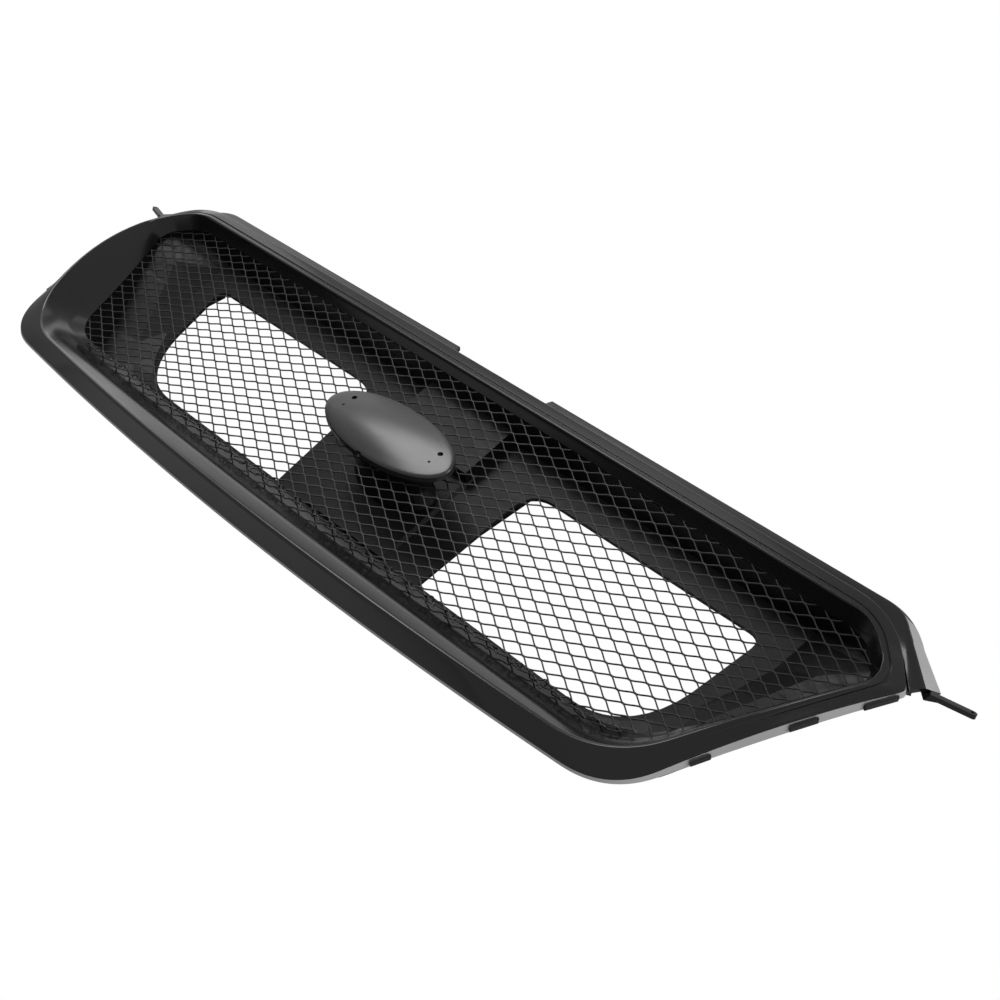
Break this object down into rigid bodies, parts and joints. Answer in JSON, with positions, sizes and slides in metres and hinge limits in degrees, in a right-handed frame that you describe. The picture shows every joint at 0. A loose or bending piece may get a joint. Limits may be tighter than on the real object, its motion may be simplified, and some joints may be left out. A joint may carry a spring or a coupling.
{
  "type": "car front grille",
  "caption": "Six-sided front grille with a gloss black moulded surround, expanded diamond mesh, a dark backing tray with two windows and a blank oval badge plate.",
  "frame": {"origin": "bottom centre of the bounding box, on the plane of the backing's rear ribs", "axes": "+X along the width of the car, +Y up the car, +Z out of the front face; the grille lies on its back"},
  "size_m": [0.8976, 0.2604, 0.0936],
  "materials": {
    "surround_gloss": "gloss black",
    "mesh_black": "semi-gloss black powder coat",
    "backing_matt": "matt black, fine grain",
    "badge_satin": "satin dark grey",
    "tab_matt": "satin black",
    "clip_matt": "matt black",
    "screw_steel": "dull zinc plate"
  },
  "bodies": {
    "root": {"surround_frame": "surround_gloss", "mesh_panel": "mesh_black", "backing_panel": "backing_matt", "badge_plate": "badge_satin", "badge_pedestal": "backing_matt", "upper_flange_left": "surround_gloss", "ear_left": "tab_matt", "side_clip_left_1": "clip_matt", "side_clip_left_2": "clip_matt", "side_clip_left_3": "clip_matt", "pedestal_screw_left": "screw_steel", "upper_flange_right": "surround_gloss", "ear_right": "tab_matt", "side_clip_right_1": "clip_matt", "side_clip_right_2": "clip_matt", "side_clip_right_3": "clip_matt", "pedestal_screw_right": "screw_steel", "backing_screw_1": "screw_steel", "backing_screw_2": "screw_steel", "backing_screw_3": "screw_steel", "backing_screw_4": "screw_steel", "backing_screw_5": "screw_steel", "backing_screw_6": "screw_steel", "backing_screw_7": "screw_steel", "backing_screw_8": "screw_steel"}
  },
  "joints": []
}
